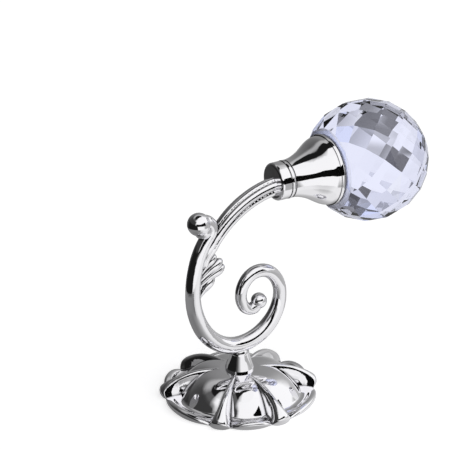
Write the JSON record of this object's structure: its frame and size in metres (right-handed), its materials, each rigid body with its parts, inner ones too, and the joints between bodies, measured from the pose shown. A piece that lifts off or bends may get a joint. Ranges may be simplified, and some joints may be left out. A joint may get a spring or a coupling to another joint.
{
  "type": "curtain holdback",
  "caption": "Chrome curtain holdback: petalled wall rosette, C-scroll arm with leaf and volute, trumpet collar and a faceted crystal ball.",
  "frame": {"origin": "centre of the rosette's wall face", "axes": "+Z away from the wall, +X from the rosette's axis towards the ball; the arm lies in the XZ plane"},
  "size_m": [0.117, 0.0653, 0.1168],
  "materials": {
    "plated_metal": "mirror polished plating on cast zinc",
    "crystal": "cut and polished",
    "fastener_steel": "zinc plated"
  },
  "bodies": {
    "root": {"wall_rosette": "plated_metal", "scroll_arm": "plated_metal", "ball_collar": "plated_metal", "crystal_ball": "crystal", "arm_screw": "fastener_steel", "collar_nut": "fastener_steel"}
  },
  "joints": []
}
